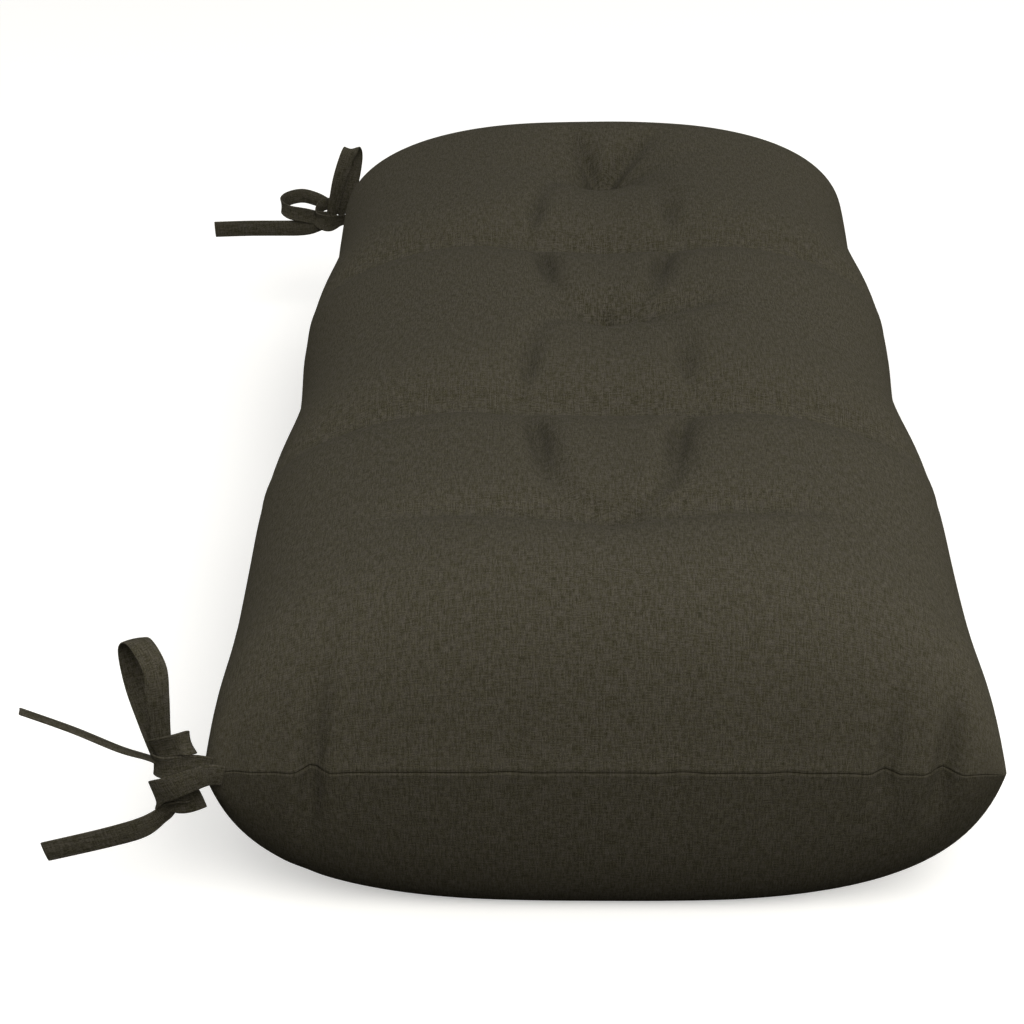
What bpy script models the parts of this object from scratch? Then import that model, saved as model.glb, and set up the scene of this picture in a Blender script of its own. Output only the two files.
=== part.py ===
"""A tufted bench cushion with a tie knotted at each corner of one long side.

The cushion is one filled solid: an upper and a lower panel that meet in a knife-edge seam. The upper panel
is held down at seven tufts, in rows of one, two, one, two and one, and valleys run between them.
X runs across the cushion, Y along it and Z up. The ties are on the -X side, the near end is at -Y, and the
origin is on the surface under the cushion's middle.
"""

import math
from typing import NamedTuple

import bmesh
import bpy
import numpy as np
from mathutils import Vector

# The cushion, in metres.
WIDTH = 0.500
LENGTH = 1.000
SEAM_HEIGHT = 0.130
CROWN_RISE = 0.118
BELLY_DROP = 0.134
UPPER_END_RUN = 0.088
LOWER_END_RUN = 0.066
SIDE_BOW = 0.004
SCALLOP = 0.009

# Exponents of the superellipses that the panels follow, 2 for an ellipse and more for a squarer one.
UPPER_ACROSS = 2.35
UPPER_END = 2.45
LOWER_ACROSS = 2.80
LOWER_END = 2.90

# Tufts, which lie a little to the right of the middle, and the valleys between them.
ROW_PITCH = LENGTH / 6
TUFT_SHIFT = 0.006
PAIR_HALF = 0.068
TUFT_DEPTH = 0.030
DIAGONAL_SAG = 0.015
BRIDGE_SAG = 0.006
SIDE_SAG = 0.020
SIDE_RIM_DEPTH = 0.020
FADE_SAG = 0.006
DIAGONAL_WIDTH = 0.028
BRIDGE_WIDTH = 0.024
SIDE_WIDTH = 0.042
FADE_WIDTH = 0.030
CREASE_SHARE = 0.5
CREASE_ROUNDING = 0.08
BLEND = 6
RIM_FADE = 1.3

# The lower panel is drawn in under the pair rows.
WAIST_SHARE = 0.128
WAIST_WIDTH = 0.040

# The grid that each panel starts from.
COLUMNS = 40
ROWS = 70
WELD = 0.00001
SMOOTH_ANGLE = math.radians(50)

# The straps of the ties, in metres.
STRAP_THICKNESS = 0.0016
STEPS_BETWEEN_STATIONS = 4
MILLIMETRE = 0.001

CLOTH_COLOUR = (0.054, 0.050, 0.038, 1.0)
CLOTH_ROUGHNESS = 0.95

TUFTS = {
    "near": (TUFT_SHIFT, -2 * ROW_PITCH),
    "near pair left": (TUFT_SHIFT - PAIR_HALF, -ROW_PITCH),
    "near pair right": (TUFT_SHIFT + PAIR_HALF, -ROW_PITCH),
    "middle": (TUFT_SHIFT, 0.0),
    "far pair left": (TUFT_SHIFT - PAIR_HALF, ROW_PITCH),
    "far pair right": (TUFT_SHIFT + PAIR_HALF, ROW_PITCH),
    "far": (TUFT_SHIFT, 2 * ROW_PITCH),
}
PAIR_ROWS = (-ROW_PITCH, ROW_PITCH)


class Valley(NamedTuple):
    """A trough in the upper panel: its depth at both ends, and the depth that pulls on it in the middle."""

    start: tuple
    end: tuple
    start_depth: float
    sag: float
    end_depth: float
    width: float


class Station(NamedTuple):
    """A place on a strap, in millimetres from its corner, and the way in which its width lies there."""

    right: float
    back: float
    up: float
    width: float
    across: tuple


def diagonal(start, end):
    return Valley(TUFTS[start], TUFTS[end], TUFT_DEPTH, DIAGONAL_SAG, TUFT_DEPTH, DIAGONAL_WIDTH)


def bridge(start, end):
    return Valley(TUFTS[start], TUFTS[end], TUFT_DEPTH, BRIDGE_SAG, TUFT_DEPTH, BRIDGE_WIDTH)


def to_side(start, side):
    rim = (side * WIDTH / 2, TUFTS[start][1])
    return Valley(TUFTS[start], rim, TUFT_DEPTH, SIDE_SAG, SIDE_RIM_DEPTH, SIDE_WIDTH)


def fading(start, right, back):
    """A valley that dies away from a tuft towards a place given from that tuft."""
    x, y = TUFTS[start]
    return Valley(TUFTS[start], (x + right, y + back), TUFT_DEPTH, FADE_SAG, 0.0, FADE_WIDTH)


def list_valleys():
    valleys = []
    for single in ("near", "middle", "far"):
        valleys.append(fading(single, -0.170, 0.0))
        valleys.append(fading(single, 0.170, 0.0))
    for pair, before, after in (("near pair", "near", "middle"), ("far pair", "middle", "far")):
        for side, sign in (("left", -1), ("right", 1)):
            tuft = f"{pair} {side}"
            valleys.append(diagonal(before, tuft))
            valleys.append(diagonal(tuft, after))
            valleys.append(to_side(tuft, sign))
        valleys.append(bridge(f"{pair} left", f"{pair} right"))
    valleys.append(fading("far", -0.050, 0.130))
    valleys.append(fading("far", 0.070, 0.125))
    return valleys


def superellipse(share, exponent):
    """Height from 1 in the middle to 0 at the rim, for a share from 0 to 1 of the way to the rim."""
    return max(0.0, 1 - abs(share) ** exponent) ** (1 / exponent)


def end_rise(y, run, exponent):
    """The panel's rise from 0 at the end seams to 1 where it levels out."""
    from_end = min(1.0, (LENGTH / 2 - abs(y)) / run)
    return superellipse(1 - from_end, exponent)


def half_width(y):
    """The seam draws in beside the single tufts, where the filling is thickest."""
    wave = math.cos(math.pi * (y + ROW_PITCH) / ROW_PITCH)
    bow = SIDE_BOW * (1 - abs(2 * y / LENGTH) ** 6)
    return WIDTH / 2 + bow - SCALLOP * (1 - wave) / 2


def trough(valley, x, y):
    """The valley's depth at a place: a crease at its line, and soft at its banks."""
    start_x, start_y = valley.start
    run_x, run_y = valley.end[0] - start_x, valley.end[1] - start_y
    along = ((x - start_x) * run_x + (y - start_y) * run_y) / (run_x**2 + run_y**2)
    along = min(1.0, max(0.0, along))
    away = math.hypot(x - start_x - along * run_x, y - start_y - along * run_y) / valley.width
    depth = (
        valley.start_depth * (1 - along) ** 2
        + 2 * valley.sag * along * (1 - along)
        + valley.end_depth * along**2
    )
    crease = math.exp(math.sqrt(CREASE_ROUNDING) - math.sqrt(away**2 + CREASE_ROUNDING))
    bank = math.exp(-(away**2))
    return depth * (CREASE_SHARE * crease + (1 - CREASE_SHARE) * bank)


def quilting(valleys, x, y):
    return sum(trough(valley, x, y) ** BLEND for valley in valleys) ** (1 / BLEND)


def upper_height(valleys, across, x, y):
    over = superellipse(across, UPPER_ACROSS)
    along = end_rise(y, UPPER_END_RUN, UPPER_END)
    near_rim = min(1.0, RIM_FADE * over)
    return SEAM_HEIGHT + along * (CROWN_RISE * over - near_rim * quilting(valleys, x, y))


def lower_height(across, y):
    """The lower panel has its waists at the pair rows' sides, and lies flat where it meets the surface."""
    waist = sum(math.exp(-(((y - row) / WAIST_WIDTH) ** 2)) for row in PAIR_ROWS)
    over = superellipse(across, LOWER_ACROSS) * (1 - WAIST_SHARE * waist * abs(across) ** 4)
    along = end_rise(y, LOWER_END_RUN, LOWER_END)
    return max(0.0, SEAM_HEIGHT - BELLY_DROP * over * along)


def even_lines(count, half_span, rise):
    """Grid lines from -1 to 1 that are evenly spaced along the curve which the panel takes over them."""
    fine = np.sin(np.linspace(-math.pi / 2, math.pi / 2, 1001))
    heights = np.array([rise(value) for value in fine])
    steps = np.hypot(np.diff(fine * half_span), np.diff(heights))
    travelled = np.concatenate([[0.0], np.cumsum(steps)])
    return np.interp(np.linspace(0.0, travelled[-1], count + 1), travelled, fine)


def add_panel(mesh, columns, rows, height):
    """Adds a flat grid, moves its points onto one panel, and splits each corner face towards its inner point."""
    made = bmesh.ops.create_grid(mesh, x_segments=COLUMNS, y_segments=ROWS, size=1.0)
    for vertex in made["verts"]:
        across = columns[round((vertex.co.x + 1) / 2 * COLUMNS)]
        y = rows[round((vertex.co.y + 1) / 2 * ROWS)] * LENGTH / 2
        x = across * half_width(y)
        vertex.co = (x, y, height(across, x, y))
    for corner in [vertex for vertex in made["verts"] if len(vertex.link_edges) == 2]:
        face = corner.link_faces[0]
        opposite = next(v for v in face.verts if v is not corner and len(v.link_faces) == 4)
        bmesh.utils.face_split(face, corner, opposite)


def make_cushion(parts, cloth):
    valleys = list_valleys()
    columns = even_lines(COLUMNS, WIDTH / 2, lambda u: CROWN_RISE * superellipse(u, UPPER_ACROSS))
    rows = even_lines(
        ROWS, LENGTH / 2, lambda v: CROWN_RISE * end_rise(v * LENGTH / 2, UPPER_END_RUN, UPPER_END)
    )
    mesh = bmesh.new()
    add_panel(mesh, columns, rows, lambda across, x, y: upper_height(valleys, across, x, y))
    upper_faces = list(mesh.faces)
    add_panel(mesh, columns, rows, lambda across, x, y: lower_height(across, y))
    lower_faces = [face for face in mesh.faces if face not in set(upper_faces)]
    bmesh.ops.reverse_faces(mesh, faces=lower_faces)
    bmesh.ops.remove_doubles(mesh, verts=mesh.verts, dist=WELD)
    bmesh.ops.triangulate(mesh, faces=mesh.faces, quad_method="SHORT_EDGE")
    return add_object("cushion", mesh, parts, cloth)


def add_object(name, mesh, collection, cloth):
    """Turns a bmesh into a smooth-shaded object of the given collection."""
    data = bpy.data.meshes.new(name)
    mesh.to_mesh(data)
    mesh.free()
    data.materials.append(cloth)
    data.shade_smooth()
    data.set_sharp_from_angle(angle=SMOOTH_ANGLE)
    made = bpy.data.objects.new(name, data)
    collection.objects.link(made)
    return made


def between(stations, share):
    """The place, width and width direction at a share of the way along a strap, on a smooth curve."""
    position = share * (len(stations) - 1)
    index = min(int(position), len(stations) - 2)
    local = position - index
    picked = [stations[min(max(index + k, 0), len(stations) - 1)] for k in (-1, 0, 1, 2)]
    weights = (
        -0.5 * local + local**2 - 0.5 * local**3,
        1 - 2.5 * local**2 + 1.5 * local**3,
        0.5 * local + 2 * local**2 - 1.5 * local**3,
        -0.5 * local**2 + 0.5 * local**3,
    )
    place, across, width = Vector(), Vector(), 0.0
    for weight, station in zip(weights, picked):
        place += weight * Vector((station.right, station.back, station.up))
        across += weight * Vector(station.across).normalized()
        width += weight * station.width
    return place * MILLIMETRE, width * MILLIMETRE, across


def make_strap(name, stations, corner, collection, cloth):
    """A flat box, cut across at even steps and bent along its stations."""
    cuts = (len(stations) - 1) * STEPS_BETWEEN_STATIONS - 1
    mesh = bmesh.new()
    bmesh.ops.create_cube(mesh, size=1.0)
    lengthwise = [edge for edge in mesh.edges if abs(edge.verts[0].co.y - edge.verts[1].co.y) > 0.5]
    bmesh.ops.subdivide_edges(mesh, edges=lengthwise, cuts=cuts, use_grid_fill=True)
    for vertex in mesh.verts:
        sideways, share, thick = vertex.co.x, vertex.co.y + 0.5, vertex.co.z
        place, width, across = between(stations, share)
        ahead = between(stations, min(1.0, share + 0.01))[0] - between(stations, max(0.0, share - 0.01))[0]
        ahead.normalize()
        across = (across - across.dot(ahead) * ahead).normalized()
        normal = across.cross(ahead)
        vertex.co = corner + place + across * sideways * width + normal * thick * STRAP_THICKNESS
    return add_object(name, mesh, collection, cloth)


def make_tie(name, straps, corner, parts, cutters, cloth):
    """The strap's visible runs, joined into one body where they cross in the knot."""
    first, *others = straps.items()
    tie = make_strap(name, first[1], corner, parts, cloth)
    for run, stations in others:
        piece = make_strap(f"{name} {run}", stations, corner, cutters, cloth)
        piece.hide_render = True
        piece.display_type = "WIRE"
        join = tie.modifiers.new(run, "BOOLEAN")
        join.operation = "UNION"
        join.object = piece
    return tie


LEVEL = (0.91, 0.41, 0.0)
UPRIGHT = (0.0, 0.0, 1.0)
LEANING = (-0.25, 0.0, 1.0)
EDGE_ON = (0.0, 0.90, -0.36)

NEAR_TIE = {
    "standing loop": [
        Station(-26, 3, 8, 11, LEVEL),
        Station(-26, 1, 30, 13, LEVEL),
        Station(-25, -2, 56, 15, LEVEL),
        Station(-26, 2, 75, 15, LEVEL),
        Station(-37, 15, 86, 15, LEVEL),
        Station(-46, 28, 74, 15, LEVEL),
        Station(-44, 27, 48, 15, LEVEL),
        Station(-36, 15, 26, 13, LEVEL),
        Station(-29, 6, 8, 11, LEVEL),
    ],
    "short loop": [
        Station(-31, -2, 18, 14, LEANING),
        Station(-22, -7, 23, 15, LEANING),
        Station(-12, -7, 26, 15, LEANING),
        Station(-7, 0, 22, 15, UPRIGHT),
        Station(-12, 6, 15, 13, UPRIGHT),
        Station(-21, 4, 10, 12, UPRIGHT),
    ],
    "knot": [
        Station(-24, 8, 4, 12, UPRIGHT),
        Station(-32, 0, 6, 13, UPRIGHT),
        Station(-24, -8, 8, 14, UPRIGHT),
        Station(-9, -7, 9, 14, LEANING),
        Station(4, -1.2, 4, 13, LEANING),
    ],
    "root": [
        Station(12, -1.2, -1, 15, UPRIGHT),
        Station(2, -1.6, -1, 15, UPRIGHT),
        Station(-9, -9, -2, 15, LEANING),
        Station(-22, -12, -8, 15, LEANING),
        Station(-31, -6, -14, 15, LEANING),
        Station(-25, 3, -20, 14, LEANING),
        Station(-12, 3, -15, 14, LEANING),
    ],
    "flat end": [
        Station(-17, -2, -14, 12, (1.0, 0.0, 0.3)),
        Station(-20, -1, -24, 13, (0.9, 0.0, 0.5)),
        Station(-26, -2, -33, 14, (0.6, 0.0, 0.8)),
        Station(-40, -4, -41, 14.6, UPRIGHT),
        Station(-66, -4, -50, 14.6, UPRIGHT),
        Station(-108, -4, -60, 14.6, UPRIGHT),
    ],
    "slant end": [
        Station(-24, 2, 2, 10, EDGE_ON),
        Station(-34, 0, 10, 12, EDGE_ON),
        Station(-52, -3, 19, 15, EDGE_ON),
        Station(-80, -4, 34, 15, EDGE_ON),
        Station(-111, -6, 49, 15, EDGE_ON),
    ],
}

FAR_TIE = {
    "standing loop": [
        Station(-17, -1, -5, 11, LEVEL),
        Station(-11, -2, 18, 13, LEVEL),
        Station(-5, -3, 40, 15, LEVEL),
        Station(3, 2, 62, 15, LEVEL),
        Station(8, 9, 66, 15, LEVEL),
        Station(10, 15, 56, 15, LEVEL),
        Station(7, 14, 34, 14, LEVEL),
        Station(-2, 8, 16, 12, LEVEL),
        Station(-14, 4, -3, 11, LEVEL),
    ],
    "round loop": [
        Station(-8, 0, 1, 12, UPRIGHT),
        Station(-18, 5, 3, 13, UPRIGHT),
        Station(-31, 13, 6, 15, UPRIGHT),
        Station(-47, 19, 8, 15, UPRIGHT),
        Station(-62, 15, 6, 15, UPRIGHT),
        Station(-67, 4, 3, 15, UPRIGHT),
        Station(-58, -7, 0, 15, UPRIGHT),
        Station(-42, -8, -3, 15, UPRIGHT),
        Station(-28, -5, -6, 14, UPRIGHT),
        Station(-13, -1, -6, 13, UPRIGHT),
    ],
    "flat end": [
        Station(-14, -2, -4, 12, UPRIGHT),
        Station(-24, -5, -7, 13, UPRIGHT),
        Station(-37, -6, -12, 14, UPRIGHT),
        Station(-50, -5, -14, 14.6, UPRIGHT),
        Station(-66, -4, -15, 14.6, UPRIGHT),
        Station(-100, -4, -15, 14.6, UPRIGHT),
        Station(-136, -4, -16, 14.6, UPRIGHT),
    ],
    "knot": [
        Station(-14, 7, 4, 12, UPRIGHT),
        Station(-25, 4, 6, 13, UPRIGHT),
        Station(-26, -7, 3, 14, UPRIGHT),
        Station(-14, -8, -2, 13, LEANING),
        Station(-6, -5, -3, 11, UPRIGHT),
        Station(-0.8, -3, -3, 9, UPRIGHT),
    ],
}


def make_cloth():
    """The one cloth of the cushion and its ties, as a rough Principled material."""
    cloth = bpy.data.materials.new("cushion cloth")
    cloth.use_nodes = True
    shader = cloth.node_tree.nodes["Principled BSDF"]
    shader.inputs["Base Color"].default_value = CLOTH_COLOUR
    shader.inputs["Roughness"].default_value = CLOTH_ROUGHNESS
    shader.inputs["Metallic"].default_value = 0.0
    return cloth


def main():
    for leftover in list(bpy.data.objects):
        bpy.data.objects.remove(leftover)
    parts = bpy.data.collections.new("bench cushion")
    cutters = bpy.data.collections.new("cutters")
    for collection in (parts, cutters):
        bpy.context.scene.collection.children.link(collection)
    cloth = make_cloth()
    make_cushion(parts, cloth)
    near_corner = Vector((-WIDTH / 2, -LENGTH / 2, SEAM_HEIGHT))
    far_corner = Vector((-WIDTH / 2, LENGTH / 2, SEAM_HEIGHT))
    make_tie("tie_near", NEAR_TIE, near_corner, parts, cutters, cloth)
    make_tie("tie_far", FAR_TIE, far_corner, parts, cutters, cloth)


main()
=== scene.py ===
# %% [markdown]
# # A tufted bench cushion and its two corner ties
#
# The real cushion is two panels of one linen-like cloth, sewn together at their edges and stuffed
# with fibre. Seven stitches pull the upper panel down, and valleys run from tuft to tuft. At two
# corners a strap of the same cloth is caught in the seam and knotted. This script dresses the
# imported model with that cloth.

# %% The frame: the imported model and the drawing tools
import math
from typing import NamedTuple

import bmesh
import bpy
import numpy as np
from mathutils import Matrix, Vector


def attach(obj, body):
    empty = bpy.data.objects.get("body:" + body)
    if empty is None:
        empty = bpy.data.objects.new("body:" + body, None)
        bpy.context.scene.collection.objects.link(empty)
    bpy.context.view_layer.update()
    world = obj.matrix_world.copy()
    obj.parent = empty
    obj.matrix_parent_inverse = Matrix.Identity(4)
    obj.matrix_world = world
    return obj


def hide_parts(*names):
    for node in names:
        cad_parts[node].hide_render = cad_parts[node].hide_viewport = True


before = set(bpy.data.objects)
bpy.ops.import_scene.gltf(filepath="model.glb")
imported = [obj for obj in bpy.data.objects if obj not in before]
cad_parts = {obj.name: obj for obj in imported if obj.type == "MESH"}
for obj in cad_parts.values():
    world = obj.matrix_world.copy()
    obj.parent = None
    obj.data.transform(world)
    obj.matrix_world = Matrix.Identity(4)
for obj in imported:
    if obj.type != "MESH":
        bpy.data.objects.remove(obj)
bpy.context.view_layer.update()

print("nodes:", ", ".join(sorted(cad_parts)))

# %% [markdown]
# ## The camera
#
# The cushion is seen along its length from a standing person's height, a little to its left and
# through a long lens, so its far end looks only slightly smaller. A camera could be placed by eye.
# Here its place and angles are worked out from the corners of the seam, because four known points
# settle them all at once.

# %% The camera
CAMERA_PLACE = Vector((-0.017, -1.675, 0.934))
CAMERA_DOWN = math.radians(27.80)
CAMERA_LEFT = math.radians(1.83)
CAMERA_ROLL = math.radians(-0.90)
LENS_MM = 79.4
SENSOR_MM = 36.0

camera = bpy.data.objects.new("camera", bpy.data.cameras.new("camera"))
camera.data.lens = LENS_MM
camera.data.sensor_width = SENSOR_MM
turn = (
    Matrix.Rotation(CAMERA_LEFT, 4, "Z")
    @ Matrix.Rotation(math.radians(90) - CAMERA_DOWN, 4, "X")
    @ Matrix.Rotation(CAMERA_ROLL, 4, "Z")
)
camera.matrix_world = Matrix.Translation(CAMERA_PLACE) @ turn
bpy.context.scene.collection.objects.link(camera)
bpy.context.scene.camera = camera
bpy.context.scene.view_settings.view_transform = "Standard"
print("the camera looks down by", round(math.degrees(CAMERA_DOWN), 1), "degrees")

# %% [markdown]
# ## Materials by arithmetic
#
# A cloth's colour is a sum of small effects: the weave, its uneven yarns, the thread of a seam, and
# painted shade in a seam's crack and between the yarns. Its nodes could be placed and linked one by
# one. With a class that turns Python's arithmetic into Math nodes, each effect is a formula instead,
# which is shorter to read and to change. Any other node comes from one method.


# %% Values that change over a surface
class Value:
    """A number that changes over a surface. Arithmetic on it adds Math nodes."""

    def __init__(self, finish, socket):
        self.finish = finish
        self.socket = socket

    def combine(self, operation, *numbers):
        inputs = dict(enumerate(numbers))
        return self.finish.value("ShaderNodeMath", {"operation": operation}, inputs, "Value")

    def __add__(self, other):
        return self.combine("ADD", self, other)

    __radd__ = __add__

    def __sub__(self, other):
        return self.combine("SUBTRACT", self, other)

    def __rsub__(self, other):
        return self.combine("SUBTRACT", other, self)

    def __mul__(self, other):
        return self.combine("MULTIPLY", self, other)

    __rmul__ = __mul__

    def __truediv__(self, other):
        return self.combine("DIVIDE", self, other)

    def __pow__(self, other):
        return self.combine("POWER", self, other)

    def sine(self):
        return self.combine("SINE", self)

    def size(self):
        return self.combine("ABSOLUTE", self)

    def above(self, limit):
        return self.combine("GREATER_THAN", self, limit)

    def ramp(self, low, high):
        """0 below low and 1 above high, with a soft passage between."""
        settings = {"interpolation_type": "SMOOTHSTEP"}
        inputs = {"Value": self, "From Min": low, "From Max": high, "To Min": 0.0, "To Max": 1.0}
        return self.finish.value("ShaderNodeMapRange", settings, inputs, "Result")


print("a Value adds, subtracts, multiplies, divides and raises to a power")


# %% The finish that holds them
class Finish:
    """The nodes of a material or of the world, and the one method that adds to them."""

    def __init__(self, owner, shader):
        owner.use_nodes = True
        self.owner = owner
        self.tree = owner.node_tree
        self.shader = self.tree.nodes[shader]

    def node(self, kind, settings, inputs):
        made = self.tree.nodes.new(kind)
        for key, setting in settings.items():
            setattr(made, key, setting)
        for key, given in inputs.items():
            self.feed(made.inputs[key], given)
        return made

    def value(self, kind, settings, inputs, output):
        return Value(self, self.node(kind, settings, inputs).outputs[output])

    def feed(self, socket, given):
        if isinstance(given, Value):
            self.tree.links.new(given.socket, socket)
        else:
            socket.default_value = given

    def shader_input(self, name, given):
        self.feed(self.shader.inputs[name], given)

    def split(self, vector):
        """The three numbers of a vector."""
        parted = self.node("ShaderNodeSeparateXYZ", {}, {"Vector": vector})
        return [Value(self, parted.outputs[axis]) for axis in "XYZ"]

    def mix(self, blend, share, first, second):
        """A blend of two colours. A Mix node has sockets for numbers too, so they go by type."""
        settings = {"data_type": "RGBA", "blend_type": blend}
        made = self.node("ShaderNodeMix", settings, {"Factor": share})
        for socket, colour in zip([s for s in made.inputs if s.type == "RGBA"], (first, second)):
            self.feed(socket, colour)
        return Value(self, next(s for s in made.outputs if s.type == "RGBA"))


def new_material(name):
    return Finish(bpy.data.materials.new(name), "Principled BSDF")


print("a Finish holds the nodes of one material")

# %% [markdown]
# ## The cloth
#
# It is a plain weave of uneven yarns: each crossing shows either the lengthwise or the crosswise
# yarn, and each yarn is lighter or darker along its run. A plain noise would be quicker, but it
# looks like stone and not like cloth. So two sets of streaks are laid across each other, and the
# weave picks one of them at each crossing. The pattern lies on the panels' own flat coordinates, in
# metres, which every piece carries in a UV map, so the yarns follow the cloth round the edges.

# %% The yarns and the colours
YARN = 0.00085
YARN_RUN = 0.0048
SLUB = 0.0017
SLUB_RUN = 0.0100
STREAK_ROUGHNESS = 0.6
DARK_YARN = (0.0255, 0.0240, 0.0155, 1.0)
LIGHT_YARN = (0.0860, 0.0795, 0.0620, 1.0)
OLIVE_TINT = (1.02, 1.00, 0.86, 1.0)
GREY_TINT = (1.02, 0.99, 1.02, 1.0)
RELIEF_HEIGHT = 0.0004
RELIEF_STRENGTH = 0.6
CLOTH_ROUGHNESS = 0.92
CLOTH_SPECULAR = 0.12
CLOTH_MAP = "cloth"


def streaks(finish, across, along, width, run, detail):
    """Noise that is drawn out along one direction of the weave."""
    inputs = {"X": across / width, "Y": along / run, "Z": 0.0}
    place = finish.value("ShaderNodeCombineXYZ", {}, inputs, "Vector")
    inputs = {"Vector": place, "Scale": 1.0, "Detail": detail, "Roughness": STREAK_ROUGHNESS}
    return finish.value("ShaderNodeTexNoise", {"noise_dimensions": "2D"}, inputs, "Fac")


print("one yarn is", YARN * 1000, "mm wide")


# %% The weave
def weave_cloth(name, sewing_or_seam_shade, thread_or_seam_shade_colour, thread_rise):
    """The cloth of one piece. Its mask, of u and v, is 1 on a thread or on painted seam shade, else
    0.
    """
    finish = new_material(name)
    flat = finish.value("ShaderNodeUVMap", {"uv_map": CLOTH_MAP}, {}, "UV")
    u, v, _ = finish.split(flat)
    wave = (u * (math.pi / YARN)).sine() * (v * (math.pi / YARN)).sine()
    lengthwise_on_top = wave.above(0.0)
    crossing = wave.size() ** 0.5

    lengthwise = streaks(finish, u, v, YARN, YARN_RUN, 2.0)
    crosswise = streaks(finish, v, u, YARN, YARN_RUN, 2.0)
    yarn = lengthwise * lengthwise_on_top + crosswise * (1 - lengthwise_on_top)
    long_slubs = streaks(finish, u, v, SLUB, SLUB_RUN, 1.0).ramp(0.35, 0.65)
    cross_slubs = streaks(finish, v, u, SLUB, SLUB_RUN, 1.0).ramp(0.35, 0.65)
    yarn_tone = yarn.ramp(0.30, 0.70) * 0.7 + long_slubs * 0.22 + cross_slubs * 0.08
    # Each yarn's tone is darkened towards its edges: painted shade in the gaps of the weave.
    tone_with_painted_gap_shade = yarn_tone * (0.75 + 0.25 * crossing)

    cloth = finish.mix("MIX", tone_with_painted_gap_shade, DARK_YARN, LIGHT_YARN)
    tint = finish.mix("MIX", long_slubs * 0.5 + cross_slubs * 0.5, OLIVE_TINT, GREY_TINT)
    tinted = finish.mix("MULTIPLY", 1.0, cloth, tint)
    # On the cushion, the sewing mask and colour paint shade into the seam's crack; on the strap they
    # are its thread.
    sewn = sewing_or_seam_shade(u, v)
    finish.shader_input("Base Color", finish.mix("MIX", sewn, tinted, thread_or_seam_shade_colour))

    relief = crossing * 0.6 + yarn * 0.4 + sewn * thread_rise
    inputs = {"Height": relief, "Distance": RELIEF_HEIGHT, "Strength": RELIEF_STRENGTH}
    finish.shader_input("Normal", finish.value("ShaderNodeBump", {}, inputs, "Normal"))
    finish.shader_input("Roughness", CLOTH_ROUGHNESS)
    finish.shader_input("Specular IOR Level", CLOTH_SPECULAR)
    return finish.owner


print("the weave's relief is", RELIEF_HEIGHT * 1000, "mm high")

# %% [markdown]
# ## The filled shape
#
# Stuffed cloth bulges steeply from its seam and is nearly level in the middle, and so is a
# superellipse. The shape could be sculpted, or left to a simulation alone, but then its size would
# be hard to hold. So heights are worked out from a few driving sizes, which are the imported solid's
# own, and the simulation only adds what cloth does by itself.

# %% The cushion's sizes, in metres
WIDTH = 0.500
LENGTH = 1.000
SEAM_HEIGHT = 0.130
CROWN_RISE = 0.118
BELLY_DROP = 0.134
UPPER_END_RUN = 0.088
FAR_END_RUN = 0.066
LOWER_END_RUN = 0.052
UPPER_ACROSS = 2.35
UPPER_END = 2.45
LOWER_ACROSS = 2.95
LOWER_END = 2.10

SIDE_BOW = 0.004
SIDE_BOW_POWER = 6
SCALLOP = 0.009
# Where the sides stand further out or in: by how much, at which y, and over what distance.
BULGES = ((0.0065, -0.32, 0.10), (-0.0030, 0.47, 0.05), (-0.0015, -0.50, 0.08))

# The upper panel is drawn down along its middle, between the first and the last tuft.
MIDDLE_DIP = 0.013
MIDDLE_DIP_SLOPE = 0.01818
MIDDLE_WIDTH = 0.070
MIDDLE_END = 0.42
MIDDLE_FADE = 0.10
# Near its sides, the belly hangs less deep at the two rows of paired tufts.
WAIST_SHARE = 0.128
WAIST_WIDTH = 0.040
WAIST_POWER = 4

print("the cushion is", WIDTH, "by", LENGTH, "m along its seam")

# %% [markdown]
# ## Tufts and valleys
#
# A stitch through the whole cushion holds each tuft down, and the cloth between two tufts sags
# towards them. Each valley is a line from a tuft to another, to the rim or to a place where it
# fades out. It has a depth at both ends, a depth that pulls on it in the middle, a half-width and a
# bow sideways. The valleys could be painted in a bump map, but then the outline would stay smooth.

# %% The tufts
ROW_PITCH = LENGTH / 6
TUFT_SHIFT = 0.006
NEAR_SHIFT = 0.020
PAIR_HALF = 0.068
PAIR_ROWS = (-ROW_PITCH, ROW_PITCH)

TUFTS = {
    "near": (TUFT_SHIFT, -2 * ROW_PITCH - NEAR_SHIFT),
    "near pair left": (TUFT_SHIFT - PAIR_HALF, -ROW_PITCH),
    "near pair right": (TUFT_SHIFT + PAIR_HALF, -ROW_PITCH),
    "middle": (TUFT_SHIFT, 0.0),
    "far pair left": (TUFT_SHIFT - PAIR_HALF, ROW_PITCH),
    "far pair right": (TUFT_SHIFT + PAIR_HALF, ROW_PITCH),
    "far": (TUFT_SHIFT, 2 * ROW_PITCH),
}
print("the upper panel has", len(TUFTS), "tufts")

# %% The kinds of valley
TUFT_DEPTH = 0.048
PAIR_DEPTH = 0.030
DIAGONAL_END = 0.016
FRONT_SAG = 0.023
BACK_SAG = 0.034
FRONT_BOW = 0.025
FRONT_TURN = 3
BACK_BOW = 0.032
BACK_TURN = 2
BRIDGE_SAG = 0.036
SIDE_SAG = 0.032
SIDE_RIM_DEPTH = 0.013
DIAGONAL_WIDTH = 0.021
ROW_WIDTH = 0.080
SIDE_WIDTH = 0.066
WRINKLE_WIDTH = 0.014


class Valley(NamedTuple):
    """A trough in the upper panel. Its bow is widest nearer its start where turn is more than 1."""

    start: tuple
    end: tuple
    start_depth: float
    sag: float
    end_depth: float
    width: float
    bow: float = 0.0
    turn: int = 1


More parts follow.
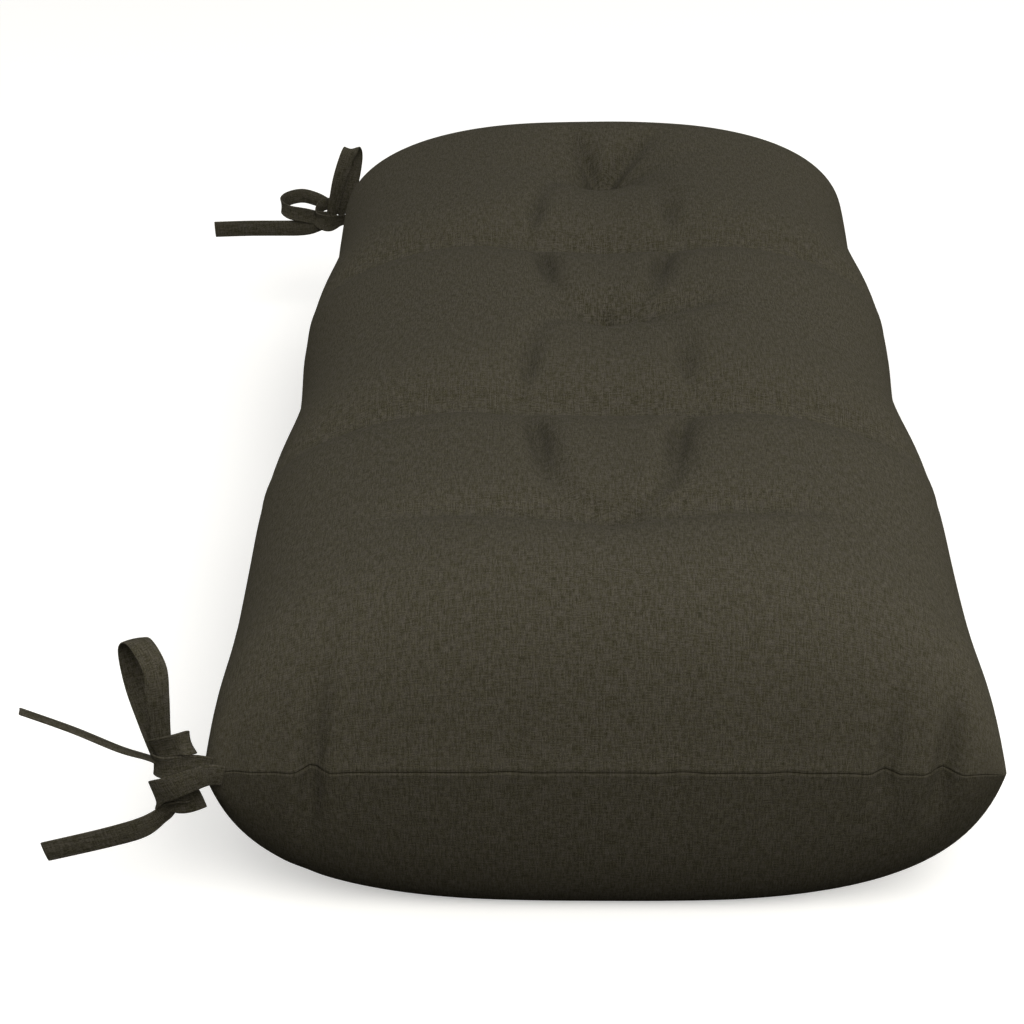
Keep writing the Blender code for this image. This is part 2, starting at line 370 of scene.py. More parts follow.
def diagonal(start, end, sag, bow, turn):
    """From a single tuft to one of a pair, bowed outwards."""
    ends = TUFTS[start], TUFTS[end]
    return Valley(*ends, TUFT_DEPTH, sag, DIAGONAL_END, DIAGONAL_WIDTH, bow, turn)


def bridge(start, end):
    return Valley(TUFTS[start], TUFTS[end], PAIR_DEPTH, BRIDGE_SAG, PAIR_DEPTH, ROW_WIDTH)


def to_side(start, side):
    rim = (side * WIDTH / 2, TUFTS[start][1])
    return Valley(TUFTS[start], rim, PAIR_DEPTH, SIDE_SAG, SIDE_RIM_DEPTH, SIDE_WIDTH)


def fading(start, right, back, depth, sag, width):
    x, y = TUFTS[start]
    return Valley(TUFTS[start], (x + right, y + back), depth, sag, 0.0, width)


def wrinkle(start, end, sag):
    return Valley(start, end, 0.0, sag, 0.0, WRINKLE_WIDTH)


print("a tuft's own dent is", TUFT_DEPTH * 1000, "mm deep")

# %% The valleys and the wrinkles of this cushion
VALLEYS = [
    fading("near", -0.165, 0.0, 0.020, 0.018, 0.052),
    fading("near", 0.160, 0.010, 0.020, 0.018, 0.052),
    fading("middle", -0.040, 0.0, 0.026, 0.010, 0.050),
    fading("middle", 0.105, 0.006, 0.030, 0.026, 0.040),
    fading("far", -0.040, 0.0, TUFT_DEPTH, 0.010, 0.050),
    fading("far", 0.060, 0.0, TUFT_DEPTH, 0.010, 0.050),
    fading("far", -0.034, 0.088, TUFT_DEPTH, 0.020, 0.036),
    fading("far", 0.056, 0.080, TUFT_DEPTH, 0.020, 0.036),
]
for pair, before, after in (("near pair", "near", "middle"), ("far pair", "middle", "far")):
    for side, sign in (("left", -1), ("right", 1)):
        tuft = f"{pair} {side}"
        VALLEYS.append(diagonal(before, tuft, FRONT_SAG, sign * FRONT_BOW, FRONT_TURN))
        VALLEYS.append(diagonal(after, tuft, BACK_SAG, sign * BACK_BOW, BACK_TURN))
        VALLEYS.append(to_side(tuft, sign))
    VALLEYS.append(bridge(f"{pair} left", f"{pair} right"))

WRINKLES = [
    wrinkle((0.110, -0.155), (0.146, -0.122), 0.016),
    wrinkle((0.100, 0.178), (0.128, 0.235), 0.014),
    wrinkle((0.125, 0.180), (0.165, 0.205), 0.014),
    wrinkle((-0.150, -0.150), (-0.120, -0.175), 0.012),
    wrinkle((0.060, 0.350), (0.120, 0.372), 0.010),
]
print("the upper panel has", len(VALLEYS), "valleys and", len(WRINKLES), "wrinkles")


# %% The outline, worked out for many points at a time
def bell(offset, width):
    """1 where the offset is 0, and fading smoothly on both sides."""
    return np.exp(-((offset / width) ** 2))


def superellipse(share, exponent):
    return np.maximum(0.0, 1 - np.abs(share) ** exponent) ** (1 / exponent)


def end_rise(y, run, exponent, far_run=None):
    here = run if far_run is None else np.where(y > 0, far_run, run)
    from_end = np.minimum(1.0, (LENGTH / 2 - np.abs(y)) / here)
    return superellipse(1 - from_end, exponent)


def half_width(y):
    wave = np.cos(math.pi * (y + ROW_PITCH) / ROW_PITCH)
    bow = SIDE_BOW * (1 - np.abs(2 * y / LENGTH) ** SIDE_BOW_POWER)
    bulge = sum(out * bell(y - place, run) for out, place, run in BULGES)
    return WIDTH / 2 + bow + bulge - SCALLOP * (1 - wave) / 2


print("the waist is", round(2 * float(half_width(-2 * ROW_PITCH)), 3), "m wide at the near tuft")

# %% How deep a valley is at each point
BANK = 1.9
BLEND = 6
RIM_FADE = 1.3


def on_line(valley, x, y):
    """How far along the valley's line each point lies, and how far away from it."""
    start_x, start_y = valley.start
    run_x, run_y = valley.end[0] - start_x, valley.end[1] - start_y
    along = ((x - start_x) * run_x + (y - start_y) * run_y) / (run_x**2 + run_y**2)
    along = np.clip(along, 0.0, 1.0)
    turn = valley.turn
    widest = along * (1 - along) ** turn * (turn + 1) ** (turn + 1) / turn**turn
    aside = x - start_x - along * run_x - valley.bow * widest
    return along, np.hypot(aside, y - start_y - along * run_y)


def trough(valley, x, y):
    along, away = on_line(valley, x, y)
    depth = (
        valley.start_depth * (1 - along) ** 2
        + 2 * valley.sag * along * (1 - along)
        + valley.end_depth * along**2
    )
    return depth * (1 - superellipse(1 - np.minimum(1.0, away / valley.width), BANK))


def quilting(x, y):
    """All valleys together. Where two cross, the deeper one counts, with a soft passage."""
    return sum(trough(valley, x, y) ** BLEND for valley in VALLEYS + WRINKLES) ** (1 / BLEND)


print("the near tuft lies", round(1000 * float(quilting(*TUFTS["near"])), 1), "mm deep")


# %% The heights of the two panels
def crown_height(across, x, y):
    over = superellipse(across, UPPER_ACROSS)
    pulled = np.clip((MIDDLE_END - np.abs(y)) / MIDDLE_FADE, 0.0, 1.0)
    dip = (MIDDLE_DIP + MIDDLE_DIP_SLOPE * y) * bell(x - TUFT_SHIFT, MIDDLE_WIDTH) * pulled
    along = end_rise(y, UPPER_END_RUN, UPPER_END, FAR_END_RUN)
    return SEAM_HEIGHT + along * (CROWN_RISE * over - dip)


def upper_height(across, x, y):
    over = superellipse(across, UPPER_ACROSS)
    along = end_rise(y, UPPER_END_RUN, UPPER_END, FAR_END_RUN)
    return crown_height(across, x, y) - along * np.minimum(1.0, RIM_FADE * over) * quilting(x, y)


def lower_height(across, x, y):
    waist = sum(bell(y - row, WAIST_WIDTH) for row in PAIR_ROWS)
    drawn_in = 1 - WAIST_SHARE * waist * np.abs(across) ** WAIST_POWER
    over = superellipse(across, LOWER_ACROSS) * drawn_in
    along = end_rise(y, LOWER_END_RUN, LOWER_END)
    return np.maximum(0.0, SEAM_HEIGHT - BELLY_DROP * over * along)


print("the crown is", round(float(crown_height(0.0, 0.0, 0.0)), 3), "m high in the middle")

# %% [markdown]
# ## The two panels
#
# A maker cuts each panel flat, with straight edges, and the filling stretches it round. The form
# could be one block that is rounded off, but then the weave would smear over its edges. So each
# panel is a flat grid with its cut's own coordinates, and its points are moved to where the filling
# pushes them. The grid's lines lie closer in the middle, where the tufts are.

# %% The grid's lines on the flat cut
COLUMNS = 84
ROWS = 146
CLOSER_IN_MIDDLE = 0.35
CURVE_STEPS = 2001
SEAM_MARGIN = 0.0025


def panel_lines(count, half_span, rise, closer=0.0):
    """Grid lines from -1 to 1 along the curve that the panel takes, and their flat places."""
    fine = np.sin(np.linspace(-math.pi / 2, math.pi / 2, CURVE_STEPS))
    steps = np.hypot(np.diff(fine * half_span), np.diff(rise(fine)))
    travelled = np.concatenate([[0.0], np.cumsum(steps)])
    whole = travelled[-1]
    share = np.linspace(0.0, 1.0, count - 1)
    flat = whole * (share + closer * np.sin(2 * math.pi * share) / (2 * math.pi))
    flat = np.sort(np.append(flat, (SEAM_MARGIN, whole - SEAM_MARGIN)))
    return np.interp(flat, travelled, fine), flat - whole / 2


def rise_across(share):
    return CROWN_RISE * superellipse(share, UPPER_ACROSS)


def rise_along(share):
    return CROWN_RISE * end_rise(share * LENGTH / 2, UPPER_END_RUN, UPPER_END)


columns, flat_columns = panel_lines(COLUMNS, WIDTH / 2, rise_across, CLOSER_IN_MIDDLE)
rows, flat_rows = panel_lines(ROWS, LENGTH / 2, rise_along)
half_cut_width = float(flat_columns[-1])
half_cut_length = float(flat_rows[-1])
print("a panel's cut is", round(2 * half_cut_width, 3), "by", round(2 * half_cut_length, 3), "m")

# %% The cushion's cloth, with painted shade in the crack of its seam
# The seam's colour is painted shade in the crack between the two panels.
SEAM_SHADE = (0.0160, 0.0135, 0.0070, 1.0)
SEAM_SHADE_WIDTH = 0.0006


def seam_shade_line(u, v):
    """1 in the crack between the two panels, which lies along the edges of their cut. Shade is
    painted there.
    """
    beside = (half_cut_width - u.size()).ramp(0.2 * SEAM_SHADE_WIDTH, SEAM_SHADE_WIDTH)
    before = (half_cut_length - v.size()).ramp(0.2 * SEAM_SHADE_WIDTH, SEAM_SHADE_WIDTH)
    return 1 - beside * before


cushion_cloth = weave_cloth("cushion cloth", seam_shade_line, SEAM_SHADE, thread_rise=-1.0)
print("the cushion's cloth has", len(cushion_cloth.node_tree.nodes), "nodes")

# %% One panel, bent from its grid
PANEL = "panel"
UPPER = 1
LOWER = 2


def panel_points(height):
    """An array of points, with a row of the grid in each of its rows."""
    across, along = np.meshgrid(columns, rows)
    y = along * LENGTH / 2
    x = across * half_width(y)
    return np.stack([x, y, height(across, x, y)], axis=-1)


def add_panel(mesh, points, panel, layers):
    made = bmesh.ops.create_grid(mesh, x_segments=COLUMNS, y_segments=ROWS, size=1.0)
    spots = {}
    for vertex in made["verts"]:
        column = round((vertex.co.x + 1) / 2 * COLUMNS)
        row = round((vertex.co.y + 1) / 2 * ROWS)
        spots[vertex] = (row, column)
    faces = {face for vertex in made["verts"] for face in vertex.link_faces}
    for face in faces:
        face[layers["panel"]] = panel
        for loop in face.loops:
            row, column = spots[loop.vert]
            loop[layers["flat"]].uv = (flat_columns[column], flat_rows[row])
    for vertex, spot in spots.items():
        vertex.co = points[spot]
    return list(faces)


print("one panel's grid has", COLUMNS * ROWS, "faces")

# %% The panels, sewn into one closed form
WELD = 0.00001


def add_piece(name, mesh, material):
    data = bpy.data.meshes.new(name)
    mesh.to_mesh(data)
    mesh.free()
    data.materials.append(material)
    data.shade_smooth()
    piece = bpy.data.objects.new(name, data)
    bpy.context.scene.collection.objects.link(piece)
    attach(piece, "root")
    return piece


def make_cushion():
    mesh = bmesh.new()
    flat = mesh.loops.layers.uv.new(CLOTH_MAP)
    layers = {"flat": flat, "panel": mesh.faces.layers.int.new(PANEL)}
    add_panel(mesh, panel_points(upper_height), UPPER, layers)
    lower_faces = add_panel(mesh, panel_points(lower_height), LOWER, layers)
    bmesh.ops.reverse_faces(mesh, faces=lower_faces)
    bmesh.ops.remove_doubles(mesh, verts=mesh.verts, dist=WELD)
    return add_piece("cushion_cloth", mesh, cushion_cloth)


cushion = make_cushion()
print("the sewn form has", len(cushion.data.vertices), "points")

# %% [markdown]
# ## The filling
#
# Fibre presses on the cloth from inside, and the cloth gives way where nothing holds it, most of
# all between the tufts. A simulated pressure alone would wash the creases out and make the cushion
# too thick. So the tufts, the creases, the seam and the lower panel are held, and the movement of
# the rest is limited and evened out between neighbouring points.

# %% What holds the cloth
TUFT_HOLD = 0.007
CREASE_HOLD_WIDTH = 0.006
LEAST_HOLD = 0.01


def read_points(data, key):
    numbers = np.empty(len(data.vertices) * 3)
    data.vertices.foreach_get(key, numbers)
    return numbers.reshape(-1, 3)


def held_share(points):
    """1 for a point that can't move, and 0 for a free one. A fading valley holds less at its end."""
    x, y, z = points.T
    held = (z < SEAM_HEIGHT + WELD) * 1.0
    for valley in VALLEYS:
        along, away = on_line(valley, x, y)
        fade = 1 - along * (valley.end_depth == 0)
        held = np.maximum(held, fade * bell(away, CREASE_HOLD_WIDTH))
    for tuft_x, tuft_y in TUFTS.values():
        held[np.hypot(x - tuft_x, y - tuft_y) < TUFT_HOLD] = 1.0
    return held


start_points = read_points(cushion.data, "co")
held = held_share(start_points)
print("held:", int((held > LEAST_HOLD).sum()), "of", len(held), "points")

# %% The cloth under pressure
PRESSURE = 800.0
FRAMES = 20
QUALITY = 6
CLOTH_MASS = 0.3
TENSION = 80.0
SHEAR = 10.0
BENDING = 0.1


def apply_modifiers(piece):
    graph = bpy.context.evaluated_depsgraph_get()
    made = bpy.data.meshes.new_from_object(piece.evaluated_get(graph))
    piece.modifiers.clear()
    piece.data = made


def add_cloth(piece):
    cloth = piece.modifiers.new("cloth", "CLOTH")
    settings = cloth.settings
    settings.quality = QUALITY
    settings.mass = CLOTH_MASS
    settings.tension_stiffness = TENSION
    settings.compression_stiffness = TENSION
    settings.shear_stiffness = SHEAR
    settings.bending_stiffness = BENDING
    settings.use_pressure = True
    settings.uniform_pressure_force = PRESSURE
    settings.vertex_group_mass = "held"
    settings.effector_weights.gravity = 0.0
    cloth.collision_settings.use_collision = False
    cloth.collision_settings.use_self_collision = False
    cloth.point_cache.frame_start = 1
    cloth.point_cache.frame_end = FRAMES


def swell(piece):
    group = piece.vertex_groups.new(name="held")
    for index in np.flatnonzero(held > LEAST_HOLD):
        group.add([int(index)], float(held[index]), "REPLACE")
    add_cloth(piece)
    for frame_number in range(1, FRAMES + 1):
        bpy.context.scene.frame_set(frame_number)
    apply_modifiers(piece)


print("the cloth is pressed for", FRAMES, "frames")

# %% The movement that is kept
MOST_MOVE = 0.008
SMOOTHINGS = 3


def even_out(move, edges):
    """Each pass moves a point half way to the mean of its neighbours, as far as it is free."""
    first, second = edges.T
    neighbours = np.bincount(edges.ravel(), minlength=len(move))[:, None]
    for _ in range(SMOOTHINGS):
        total = np.zeros_like(move)
        np.add.at(total, first, move[second])
        np.add.at(total, second, move[first])
        move = (move + total / neighbours) / 2 * (1 - held)[:, None]
    return move


def settle(piece):
    swell(piece)
    move = read_points(piece.data, "co") - start_points
    moved = np.linalg.norm(move, axis=1)
    move /= 1 + moved[:, None] / MOST_MOVE
    edges = np.empty(2 * len(piece.data.edges), dtype=int)
    piece.data.edges.foreach_get("vertices", edges)
    points = start_points + even_out(move, edges.reshape(-1, 2))
    piece.data.vertices.foreach_set("co", points.ravel())
    print("the pressure moved the cloth by up to", round(1000 * float(moved.max()), 1), "mm")
    bpy.context.scene.frame_set(1)


settle(cushion)

# %% [markdown]
# ## Puckers, the edge and the seam's groove
#
# The near edge has short folds across the seam, where the panels were eased together, the seam
# stands out in a low ridge, and its thread lies in a narrow groove. Anything so small would be lost
# in the simulation, so it is added afterwards, by moves along the surface's normals, on a mesh that
# is made twice as fine.

# %% The fine cloth and its puckers
# Each pucker's x, its depth, its half-width, and how far it reaches above and below the seam.
PUCKERS = (
    (-0.183, 0.0080, 0.0065, 0.056, 0.056),
    (-0.232, 0.0016, 0.0060, 0.030, 0.015),
    (0.176, 0.0056, 0.0055, 0.045, 0.022),
    (0.212, 0.0080, 0.0065, 0.050, 0.030),
    (-0.060, 0.0012, 0.0090, 0.050, 0.040),
    (0.050, 0.0012, 0.0090, 0.040, 0.045),
    (0.115, 0.0014, 0.0080, 0.045, 0.040),
)
PUCKER_LEAN = 0.12
PUCKER_SHOULDER = 0.20
NEAR_END = -0.36


def smooth_once(piece):
    fine = piece.modifiers.new("fine cloth", "SUBSURF")
    fine.levels = 1
    fine.render_levels = 1
    apply_modifiers(piece)


def pucker_depth(x, y, rise):
    """Each fold leans a little, and the cloth beside it rises in two low shoulders."""
    depth_here = np.zeros(len(x))
    for place, depth, half, above, below in PUCKERS:
        fade = bell(rise, np.where(rise > 0, above, below)) * (y < NEAR_END)
        aside = np.abs(x - place - PUCKER_LEAN * rise)
        shoulder = PUCKER_SHOULDER * bell(aside - 2 * half, half)
        depth_here += depth * fade * (bell(aside, half) - shoulder)
    return depth_here


smooth_once(cushion)
print("the cushion has", len(cushion.data.polygons), "faces and", len(PUCKERS), "puckers")

# %% The edge's ridge, and the upright end above it
EDGE_OUT = 0.0018
UPPER_EDGE_REACH = 0.014
LOWER_EDGE_REACH = 0.042
CORNER_OUT = 0.0004
CORNER_REACH = 0.030
END_TILT = 0.0105
END_REACH = 0.034


def shape_edge(piece):
    """Folds the puckers in, draws the seam out, and sets the ends above it more upright."""
    points = read_points(piece.data, "co")
    normals = read_points(piece.data, "normal")
    x, y, z = points.T
    rise = z - SEAM_HEIGHT
    points -= pucker_depth(x, y, rise)[:, None] * normals

    corner = bell(np.hypot(WIDTH / 2 - np.abs(x), LENGTH / 2 - np.abs(y)), CORNER_REACH)
    reach = np.where(rise > 0, UPPER_EDGE_REACH, LOWER_EDGE_REACH)
    outwards = (EDGE_OUT + CORNER_OUT * corner) * np.exp(-np.abs(rise) / reach)
    points[:, :2] += outwards[:, None] * normals[:, :2]
    tilt = END_TILT * (1 - np.exp(-np.maximum(0.0, rise) / END_REACH))
    points[:, 1] -= tilt * normals[:, 1]
    piece.data.vertices.foreach_set("co", points.ravel())


shape_edge(cushion)
print("the seam stands out by", EDGE_OUT * 1000, "mm")

# %% The groove of the seam
GROOVE_DEPTH = 0.0010


def groove_seam(piece):
    """The seam's thread draws the panels' edges inwards, in a narrow groove."""
    mesh = bmesh.new()
    mesh.from_mesh(piece.data)
    panel = mesh.faces.layers.int[PANEL]
    seam = [edge for edge in mesh.edges if len({face[panel] for face in edge.link_faces}) == 2]
    line = {vertex for edge in seam for vertex in edge.verts}
    for vertex in line:
        vertex.co -= vertex.normal * GROOVE_DEPTH
    mesh.to_mesh(piece.data)
    mesh.free()
    print("the seam has", len(line), "points")


groove_seam(cushion)
cushion.data.shade_smooth()
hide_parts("cushion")

# %% [markdown]
# ## The ties
#
# A tie is one flat strap, sewn double from the cushion's own cloth, and knotted. A simulated strap
# would fall in folds of its own, and not in those of the real knot. So each run of it is bent where
# the imported model's solids lie: a grid follows a few stations, gets its thickness and is rounded.
# A station is a place in millimetres from the corner, to the right, to the back and up, the strap's
# width there and the way its width points.

# %% The straps' sizes and the stations' smooth curve
STRAP_WIDTH = 0.015
STRAP_THICKNESS = 0.0014
STRAP_LINES = (-1.0, -0.92, -0.5, 0.0, 0.5, 0.92, 1.0)
STRAP_STEP = 0.0022
FEWEST_STEPS = 8
LENGTH_STEPS = 200
LOOK_AHEAD = 0.01
CUPPING = 0.0009
MILLIMETRE = 0.001


class Station(NamedTuple):
    right: float
    back: float
    up: float
    width: float
    across: tuple


def between(run, share):
    """The place, the width and its direction at a share of the way, on a curve through stations."""
    position = share * (len(run) - 1)
    index = min(int(position), len(run) - 2)
    local = position - index
    picked = [run[min(max(index + k, 0), len(run) - 1)] for k in (-1, 0, 1, 2)]
    weights = (
        -0.5 * local + local**2 - 0.5 * local**3,
        1 - 2.5 * local**2 + 1.5 * local**3,
        0.5 * local + 2 * local**2 - 1.5 * local**3,
        -0.5 * local**2 + 0.5 * local**3,
    )
    place, across, width = Vector(), Vector(), 0.0
    for weight, station in zip(weights, picked):
        place += weight * Vector((station.right, station.back, station.up))
        across += weight * Vector(station.across).normalized()
        width += weight * station.width
    return place * MILLIMETRE, width * MILLIMETRE, across


def run_length(run):
    places = [between(run, step / LENGTH_STEPS)[0] for step in range(LENGTH_STEPS + 1)]
    return sum((after - before).length for before, after in zip(places, places[1:]))


print("the strap is", STRAP_WIDTH * 1000, "mm wide and", STRAP_THICKNESS * 1000, "mm thick")

# %% The strap's cloth, and the stitches along its edges
STITCH_IN = 0.0056
STITCH_WIDTH = 0.00035
STITCH_PITCH = 0.0030
STRAP_THREAD = (0.070, 0.066, 0.052, 1.0)


def edge_stitches(u, v):
    beside = 1 - (u.size() - STITCH_IN).size().ramp(0.5 * STITCH_WIDTH, STITCH_WIDTH)
    return beside * (v * (2 * math.pi / STITCH_PITCH)).sine().ramp(-0.3, 0.1)


strap_cloth = weave_cloth("strap cloth", edge_stitches, STRAP_THREAD, thread_rise=-0.8)
print("the strap's cloth has", len(strap_cloth.node_tree.nodes), "nodes")


# %% One run of strap
def lay_run(mesh, cloth_map, run, corner, flat_start):
    """Bends a grid along the stations, and returns the flat length that it used."""
    length = run_length(run)
    steps = max(FEWEST_STEPS, round(length / STRAP_STEP))
    lines = len(STRAP_LINES) - 1
    made = bmesh.ops.create_grid(mesh, x_segments=lines, y_segments=steps, size=1.0)
    spots = {}
    for vertex in made["verts"]:
        spots[vertex] = (STRAP_LINES[round((vertex.co.x + 1) / 2 * lines)], (vertex.co.y + 1) / 2)
    for face in {face for vertex in made["verts"] for face in vertex.link_faces}:
        for loop in face.loops:
            sideways, share = spots[loop.vert]
            loop[cloth_map].uv = (sideways * STRAP_WIDTH / 2, flat_start + share * length)
    for vertex, (sideways, share) in spots.items():
        place, width, across = between(run, share)
        after = between(run, min(1.0, share + LOOK_AHEAD))[0]
        ahead = (after - between(run, max(0.0, share - LOOK_AHEAD))[0]).normalized()
        across = (across - across.dot(ahead) * ahead).normalized()
        cup = across.cross(ahead) * CUPPING * (0.5 - sideways**2)
        vertex.co = corner + place + across * sideways * width / 2 + cup
    return length


print("a run has a row of faces for each", STRAP_STEP * 1000, "mm")


# %% A whole tie
def make_tie(name, node, runs, corner):
    mesh = bmesh.new()
    cloth_map = mesh.loops.layers.uv.new(CLOTH_MAP)
    length = 0.0
    for run in runs.values():
        length += lay_run(mesh, cloth_map, run, corner, length)
    tie = add_piece(name, mesh, strap_cloth)
    wall = tie.modifiers.new("doubled cloth", "SOLIDIFY")
    wall.thickness = STRAP_THICKNESS
    wall.offset = 0.0
    rounded = tie.modifiers.new("rounded edges", "SUBSURF")
    rounded.levels = 1
    rounded.render_levels = 1
    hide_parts(node)
    print(name, "takes", round(length, 3), "m of strap")


print("a tie is one mesh of several runs")

# %% [markdown]
# ## Where the straps run
#
# The near tie has a loop that stands up, a short loop beside it, and two free ends. One end lies
# flat towards the seat, and the other is seen on its edge. The far tie has a round loop, a standing
# loop and one free end. The runs could be one long curve, but a knot hides where it goes, so each
# visible run is listed by itself and ends inside the knot.

# %% The near tie's runs
LEVEL = (0.91, 0.41, 0.0)
UPRIGHT = (0.0, 0.0, 1.0)
LEANING = (-0.25, 0.0, 1.0)
EDGE_ON = (0.0, 0.90, -0.40)

NEAR_TIE = {
    "standing loop": [
        Station(-26, 3, 8, 11, LEVEL),
        Station(-26, 1, 30, 13, LEVEL),
        Station(-25, -2, 56, 15, LEVEL),
        Station(-26, 2, 75, 15, LEVEL),
        Station(-37, 15, 86, 15, LEVEL),
        Station(-46, 28, 74, 15, LEVEL),
        Station(-44, 27, 48, 15, LEVEL),
        Station(-36, 15, 26, 13, LEVEL),
        Station(-29, 6, 8, 11, LEVEL),
    ],
    "short loop": [
        Station(-31, -2, 18, 14, LEANING),
        Station(-22, -7, 23, 15, LEANING),
        Station(-12, -8, 26, 15.5, (-0.4, 0.0, 1.0)),
        Station(-7, -1, 22, 15, (-0.3, 0.0, 1.0)),
        Station(-12, 6, 15, 13, UPRIGHT),
        Station(-21, 4, 10, 12, UPRIGHT),
    ],
    "knot": [
        Station(-24, 8, 5, 13, UPRIGHT),
        Station(-32, 0, 6, 15, UPRIGHT),
        Station(-24, -8, 8, 16, UPRIGHT),
        Station(-9, -7, 9, 15.5, LEANING),
        Station(4, -1.2, 4, 13, LEANING),
    ],
    "root": [
        Station(12, -4.0, -1, 14, UPRIGHT),
        Station(3, -6.0, 1, 15.5, UPRIGHT),
        Station(-7, -10, 0, 16, LEANING),
        Station(-21, -12, -5, 17, LEANING),
        Station(-32, -5, -13, 17, LEANING),
        Station(-31, 4, -22, 18, LEANING),
        Station(-18, 4, -26, 18, UPRIGHT),
        Station(-4, 4, -22, 16, UPRIGHT),
    ],
    "flat end": [
        Station(-14, 8, -20, 13, (0.8, 0.0, 0.6)),
        Station(-20, 7, -26, 14, (0.7, 0.0, 0.7)),
        Station(-29, 3, -34, 15, (0.3, 0.0, 1.0)),
        Station(-42, -4, -40, 15, UPRIGHT),
        Station(-66, -4, -48.5, 14.8, UPRIGHT),
        Station(-108, -4, -60, 14.6, UPRIGHT),
    ],
    "slant end": [
        Station(-24, 2, 2, 10, EDGE_ON),
        Station(-34, 0, 10, 12, EDGE_ON),
        Station(-52, -3, 19, 15, EDGE_ON),
        Station(-80, -4, 34, 15, EDGE_ON),
        Station(-111, -6, 49, 15, EDGE_ON),
    ],
}
near_corner = Vector((-WIDTH / 2, -LENGTH / 2, SEAM_HEIGHT))
make_tie("near_tie_strap", "tie_near", NEAR_TIE, near_corner)

# %% The far tie's runs
FAR_TIE = {
    "standing loop": [
        Station(-17, -1, -5, 11, LEVEL),
        Station(-11, -2, 18, 13, LEVEL),
        Station(-5, -3, 40, 15, LEVEL),
        Station(3, 2, 62, 15, LEVEL),
        Station(8, 9, 66, 15, LEVEL),
        Station(10, 15, 56, 15, LEVEL),
        Station(6, 14, 34, 15, LEVEL),
        Station(0, 9, 16, 15, LEVEL),
        Station(-10, 5, -2, 13, LEVEL),
    ],
    "round loop": [
        Station(-8, 0, 6.5, 12, UPRIGHT),
        Station(-18, 5, 8.5, 13, UPRIGHT),
        Station(-31, 13, 11.5, 15, UPRIGHT),
        Station(-47, 19, 13.5, 15, UPRIGHT),
        Station(-62, 15, 11.5, 15, UPRIGHT),
        Station(-67, 4, 8.5, 15, UPRIGHT),
        Station(-58, -7, 5.5, 15, UPRIGHT),
        Station(-42, -8, 2.5, 15, UPRIGHT),
        Station(-28, -5, -1.5, 14, UPRIGHT),
        Station(-13, -1, -2.5, 13, UPRIGHT),
    ],
    "flat end": [
        Station(-14, -2, -4, 12, UPRIGHT),
        Station(-24, -5, -7, 13, UPRIGHT),
        Station(-37, -6, -11, 15, UPRIGHT),
        Station(-50, -5, -12.5, 16.5, UPRIGHT),
        Station(-66, -4, -13, 16.5, UPRIGHT),
        Station(-100, -4, -13, 16.5, UPRIGHT),
        Station(-136, -4, -14, 16.5, UPRIGHT),
    ],
    "knot": [
        Station(-12, 7, 10, 12, UPRIGHT),
        Station(-26, 4, 8, 13, UPRIGHT),
        Station(-30, -8, 0, 15, UPRIGHT),
        Station(-19, -10, -6, 17, LEANING),
        Station(-7, -6, -4, 12, UPRIGHT),
        Station(5, -3, -3, 9, UPRIGHT),
    ],
}
far_corner = Vector((-WIDTH / 2, LENGTH / 2, SEAM_HEIGHT))
make_tie("far_tie_strap", "tie_far", FAR_TIE, far_corner)

# %% [markdown]
# ## The floor and the light
#
# The cushion lies on a plain pale floor, in a room of soft light with a large softbox in front and
# one on each side. A sky picture would light it too, but a plain gradient is easier to repeat: dark
# below, so the belly stays dark, warm near the level of the floor and white above. The floor shines
# a little by itself, so that it is as pale as its surroundings, and casts no light on the cushion.

# %% The floor
FLOOR_HALF = 12.0
FLOOR_GLOW = 0.36
FLOOR_ROUGHNESS = 0.9
FLOOR_COLOUR = (0.90, 0.90, 0.89, 1.0)
WHITE = (1.0, 1.0, 1.0, 1.0)

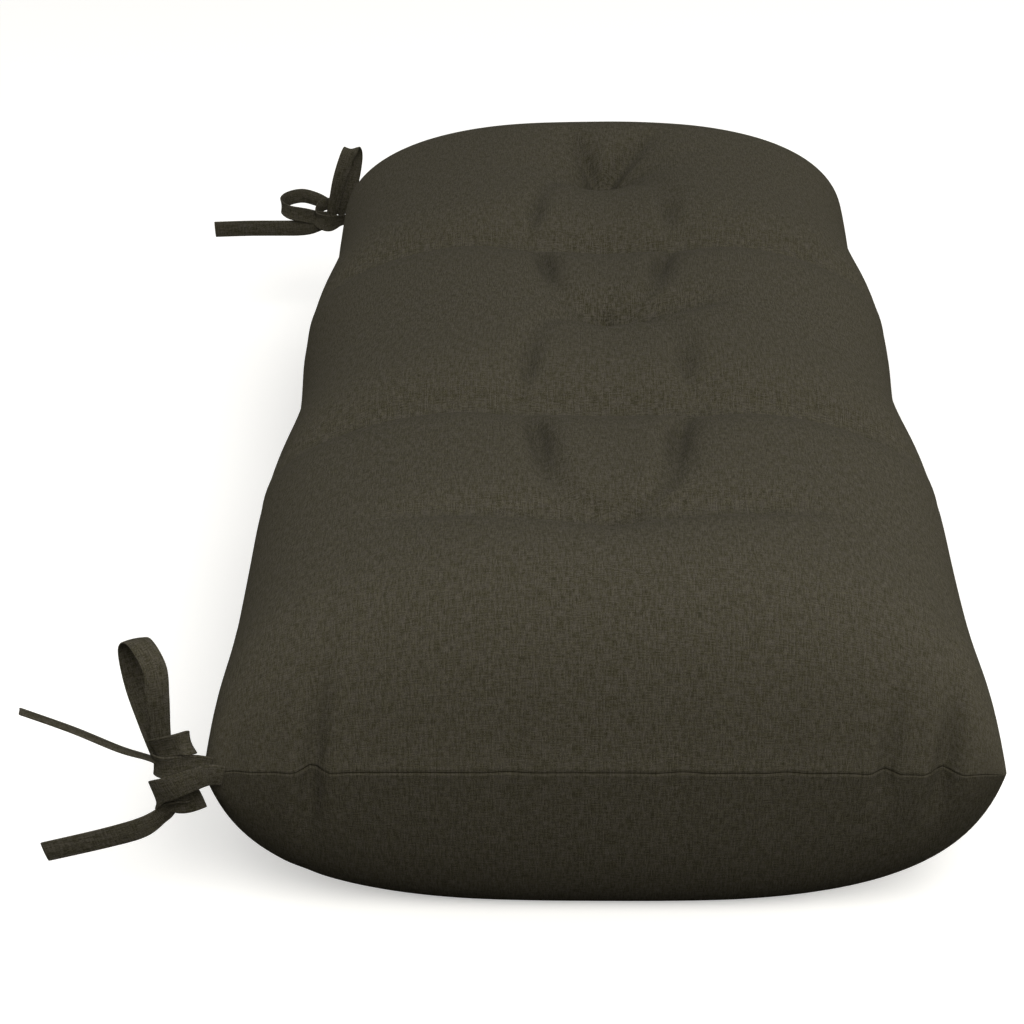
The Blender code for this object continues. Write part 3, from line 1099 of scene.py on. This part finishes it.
floor_mesh = bmesh.new()
bmesh.ops.create_grid(floor_mesh, x_segments=1, y_segments=1, size=FLOOR_HALF)
floor_data = bpy.data.meshes.new("floor")
floor_mesh.to_mesh(floor_data)
floor_mesh.free()
floor = bpy.data.objects.new("floor", floor_data)
bpy.context.scene.collection.objects.link(floor)
pale = new_material("pale floor")
pale.shader_input("Base Color", FLOOR_COLOUR)
pale.shader_input("Roughness", FLOOR_ROUGHNESS)
pale.shader_input("Emission Color", WHITE)
pale.shader_input("Emission Strength", FLOOR_GLOW)
floor.data.materials.append(pale.owner)
floor.visible_diffuse = False
floor.visible_glossy = False
print("the floor is", 2 * FLOOR_HALF, "m wide")

# %% The room's light
SKY_LIGHT = 0.53
SKY_EDGE = 0.25
WARM_LIGHT = (1.0, 0.90, 0.66, 1.0)
WARM_BELOW = -0.10
WHITE_ABOVE = 0.60

world = bpy.data.worlds.new("studio")
room = Finish(world, "Background")
height = room.split(room.value("ShaderNodeTexCoord", {}, {}, "Generated"))[2]
room.shader_input("Strength", height.ramp(0.0, SKY_EDGE) * SKY_LIGHT)
whiter = (height - WARM_BELOW) / (WHITE_ABOVE - WARM_BELOW)
room.shader_input("Color", room.mix("MIX", whiter, WARM_LIGHT, WHITE))
bpy.context.scene.world = world
print("the room's light has", len(room.tree.nodes), "nodes")

# %% The softboxes
SOFTBOX_COLOUR = (1.0, 0.975, 0.92)
# Each softbox's name, its place, what it points at, its size and its power in watts.
SOFTBOXES = (
    ("key softbox", (0.7, -2.3, 2.5), (0.0, -0.1, 0.1), 2.0, 74.0),
    ("right softbox", (3.0, -0.2, 0.5), (0.0, 0.0, 0.1), 1.6, 42.0),
    ("left softbox", (-3.0, -0.2, 0.5), (0.0, 0.0, 0.1), 1.6, 24.0),
)

for name, place, target, size, watts in SOFTBOXES:
    light = bpy.data.lights.new(name, "AREA")
    light.shape = "SQUARE"
    light.size = size
    light.energy = watts
    light.color = SOFTBOX_COLOUR
    box = bpy.data.objects.new(name, light)
    aim = (Vector(target) - Vector(place)).to_track_quat("-Z", "Y")
    box.matrix_world = Matrix.Translation(place) @ aim.to_matrix().to_4x4()
    bpy.context.scene.collection.objects.link(box)
print("the cushion has", len(SOFTBOXES), "softboxes")
